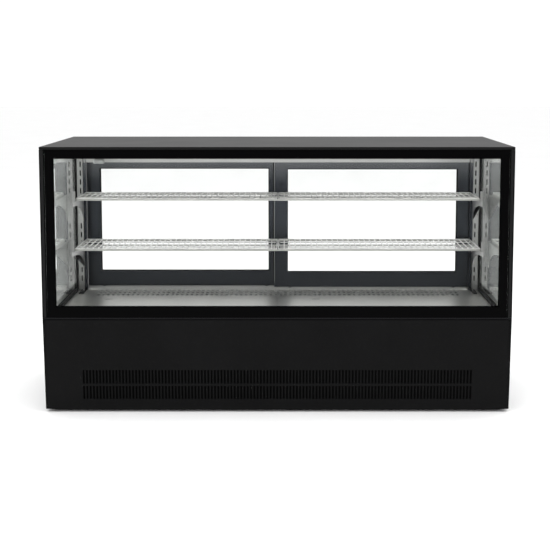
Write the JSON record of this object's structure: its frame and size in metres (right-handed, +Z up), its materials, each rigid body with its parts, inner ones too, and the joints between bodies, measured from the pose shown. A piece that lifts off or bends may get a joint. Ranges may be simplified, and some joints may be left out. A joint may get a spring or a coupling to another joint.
{
  "type": "refrigerated deli case",
  "caption": "Low square-glass refrigerated deli case with sliding rear doors, wire shelves, a stainless deck and a louvred machine compartment.",
  "frame": {"origin": "middle of the footprint, on the floor under the levelling feet", "axes": "+X along the case to the customer's right, +Y from the front glass to the service doors, +Z up"},
  "size_m": [1.8, 0.7, 1.035],
  "materials": {
    "black_steel": "black powder coat, fine satin texture",
    "satin_black_top": "satin black, soft reflection",
    "dark_aluminium": "dark anodised, fine brushed",
    "stainless": "satin brushed stainless",
    "aluminium": "natural anodised extrusion",
    "chrome_wire": "bright plated wire",
    "glass": "clear sealed double glazing",
    "gasket_rubber": "matt black extrusion",
    "insulated_body": "smooth grey liner over foam",
    "galvanised": "zinc plated",
    "compressor_black": "gloss black enamel",
    "fin_aluminium": "fine fins",
    "copper": "bare copper pipe",
    "fan_plastic": "moulded black",
    "control_plastic": "moulded black, fine texture",
    "key_grey": "moulded grey",
    "diffuser_white": "opal",
    "probe_grey": "moulded light grey"
  },
  "bodies": {
    "cabinet": {"base_frame": "black_steel", "front_panel": "black_steel", "side_panel_left": "black_steel", "side_panel_right": "black_steel", "rear_panel": "black_steel", "insulated_tub": "insulated_body", "base_trim": "dark_aluminium", "top_panel": "satin_black_top", "front_glass": "glass", "side_glass_left": "glass", "side_glass_right": "glass", "glass_gasket": "gasket_rubber", "rear_post_left": "stainless", "rear_post_right": "stainless", "rear_header": "stainless", "door_sill_track": "aluminium", "pilaster_left": "stainless", "pilaster_right": "stainless", "bracket_upper_left": "stainless", "bracket_upper_right": "stainless", "bracket_lower_left": "stainless", "bracket_lower_right": "stainless", "shelf_frame_upper": "stainless", "shelf_frame_lower": "stainless", "led_housing": "aluminium", "led_diffuser": "diffuser_white", "temperature_probe": "probe_grey", "condenser_coil": "fin_aluminium", "compressor": "compressor_black", "refrigerant_line": "copper", "condensate_tray": "fan_plastic", "evaporator_coil": "fin_aluminium", "evaporator_fan_housing": "galvanised", "temperature_controller": "control_plastic", "cable_gland": "control_plastic"},
    "left_door": {"left_door_frame": "dark_aluminium", "left_door_glass": "glass"},
    "left_door_roller_inner": {"left_door_roller_inner": "fan_plastic"},
    "left_door_roller_outer": {"left_door_roller_outer": "fan_plastic"},
    "right_door": {"right_door_frame": "dark_aluminium", "right_door_glass": "glass"},
    "right_door_roller_inner": {"right_door_roller_inner": "fan_plastic"},
    "right_door_roller_outer": {"right_door_roller_outer": "fan_plastic"},
    "wire_rack_upper_left": {"wire_rack_upper_left": "chrome_wire"},
    "wire_rack_upper_right": {"wire_rack_upper_right": "chrome_wire"},
    "wire_rack_lower_left": {"wire_rack_lower_left": "chrome_wire"},
    "wire_rack_lower_right": {"wire_rack_lower_right": "chrome_wire"},
    "deck_pan_left": {"deck_pan_left": "stainless"},
    "deck_pan_right": {"deck_pan_right": "stainless"},
    "rear_air_grille": {"rear_air_grille": "stainless"},
    "evaporator_fan_left": {"evaporator_fan_left": "fan_plastic"},
    "evaporator_fan_right": {"evaporator_fan_right": "fan_plastic"},
    "condenser_fan": {"condenser_fan": "fan_plastic"},
    "key_up": {"key_up": "key_grey"},
    "key_down": {"key_down": "key_grey"},
    "light_switch": {"light_switch": "key_grey"},
    "levelling_foot_front_left": {"levelling_foot_front_left": "galvanised"},
    "levelling_foot_front_right": {"levelling_foot_front_right": "galvanised"},
    "levelling_foot_rear_left": {"levelling_foot_rear_left": "galvanised"},
    "levelling_foot_rear_right": {"levelling_foot_rear_right": "galvanised"}
  },
  "joints": [
    {"name": "left_door_slide", "type": "slide", "parent": "cabinet", "child": "left_door", "axis": [1, 0, 0], "range_m": [0, 0.8]},
    {"name": "left_door_roller_inner_roll", "type": "hinge", "parent": "left_door", "child": "left_door_roller_inner", "pos_m": [-0.0515, 0.3325, 0.3813], "axis": [0, 1, 0], "continuous": true},
    {"name": "left_door_roller_outer_roll", "type": "hinge", "parent": "left_door", "child": "left_door_roller_outer", "pos_m": [-0.7715, 0.3325, 0.3813], "axis": [0, 1, 0], "continuous": true},
    {"name": "right_door_slide", "type": "slide", "parent": "cabinet", "child": "right_door", "axis": [-1, 0, 0], "range_m": [0, 0.8]},
    {"name": "right_door_roller_inner_roll", "type": "hinge", "parent": "right_door", "child": "right_door_roller_inner", "pos_m": [0.0515, 0.2975, 0.3813], "axis": [0, -1, 0], "continuous": true},
    {"name": "right_door_roller_outer_roll", "type": "hinge", "parent": "right_door", "child": "right_door_roller_outer", "pos_m": [0.7715, 0.2975, 0.3813], "axis": [0, -1, 0], "continuous": true},
    {"name": "wire_rack_upper_left_lift", "type": "slide", "parent": "cabinet", "child": "wire_rack_upper_left", "axis": [0, 0, 1], "range_m": [0, 0.1]},
    {"name": "wire_rack_upper_right_lift", "type": "slide", "parent": "cabinet", "child": "wire_rack_upper_right", "axis": [0, 0, 1], "range_m": [0, 0.1]},
    {"name": "wire_rack_lower_left_lift", "type": "slide", "parent": "cabinet", "child": "wire_rack_lower_left", "axis": [0, 0, 1], "range_m": [0, 0.1]},
    {"name": "wire_rack_lower_right_lift", "type": "slide", "parent": "cabinet", "child": "wire_rack_lower_right", "axis": [0, 0, 1], "range_m": [0, 0.1]},
    {"name": "deck_pan_left_lift", "type": "slide", "parent": "cabinet", "child": "deck_pan_left", "axis": [0, 0, 1], "range_m": [0, 0.06]},
    {"name": "deck_pan_right_lift", "type": "slide", "parent": "cabinet", "child": "deck_pan_right", "axis": [0, 0, 1], "range_m": [0, 0.06]},
    {"name": "rear_air_grille_lift", "type": "slide", "parent": "cabinet", "child": "rear_air_grille", "axis": [0, 0, 1], "range_m": [0, 0.05]},
    {"name": "evaporator_fan_left_spin", "type": "hinge", "parent": "cabinet", "child": "evaporator_fan_left", "pos_m": [-0.17, -0.0725, 0.29675], "axis": [0, 1, 0], "continuous": true},
    {"name": "evaporator_fan_right_spin", "type": "hinge", "parent": "cabinet", "child": "evaporator_fan_right", "pos_m": [0.17, -0.0725, 0.29675], "axis": [0, 1, 0], "continuous": true},
    {"name": "condenser_fan_spin", "type": "hinge", "parent": "cabinet", "child": "condenser_fan", "pos_m": [-0.59, -0.212, 0.12], "axis": [0, 1, 0], "continuous": true},
    {"name": "key_up_press", "type": "slide", "parent": "cabinet", "child": "key_up", "axis": [0, -1, 0], "range_m": [0, 0.0008], "stiffness_N_per_m": 600, "springref_m": -0.001},
    {"name": "key_down_press", "type": "slide", "parent": "cabinet", "child": "key_down", "axis": [0, -1, 0], "range_m": [0, 0.0008], "stiffness_N_per_m": 600, "springref_m": -0.001},
    {"name": "light_switch_rock", "type": "hinge", "parent": "cabinet", "child": "light_switch", "pos_m": [0.66, 0.3385, 0.1475], "axis": [1, 0, 0], "range_deg": [-20, 0]},
    {"name": "levelling_foot_front_left_turn", "type": "hinge", "parent": "cabinet", "child": "levelling_foot_front_left", "pos_m": [-0.8, -0.25, 0.02], "axis": [0, 0, 1], "continuous": true},
    {"name": "levelling_foot_front_right_turn", "type": "hinge", "parent": "cabinet", "child": "levelling_foot_front_right", "pos_m": [0.8, -0.25, 0.02], "axis": [0, 0, 1], "continuous": true},
    {"name": "levelling_foot_rear_left_turn", "type": "hinge", "parent": "cabinet", "child": "levelling_foot_rear_left", "pos_m": [-0.8, 0.265, 0.02], "axis": [0, 0, 1], "continuous": true},
    {"name": "levelling_foot_rear_right_turn", "type": "hinge", "parent": "cabinet", "child": "levelling_foot_rear_right", "pos_m": [0.8, 0.265, 0.02], "axis": [0, 0, 1], "continuous": true}
  ],
  "couplings": [
    {"joint": "left_door_roller_inner_roll", "follows": "left_door_slide", "rad_per_m": 100},
    {"joint": "left_door_roller_outer_roll", "follows": "left_door_slide", "rad_per_m": 100},
    {"joint": "right_door_roller_inner_roll", "follows": "right_door_slide", "rad_per_m": 100},
    {"joint": "right_door_roller_outer_roll", "follows": "right_door_slide", "rad_per_m": 100}
  ]
}
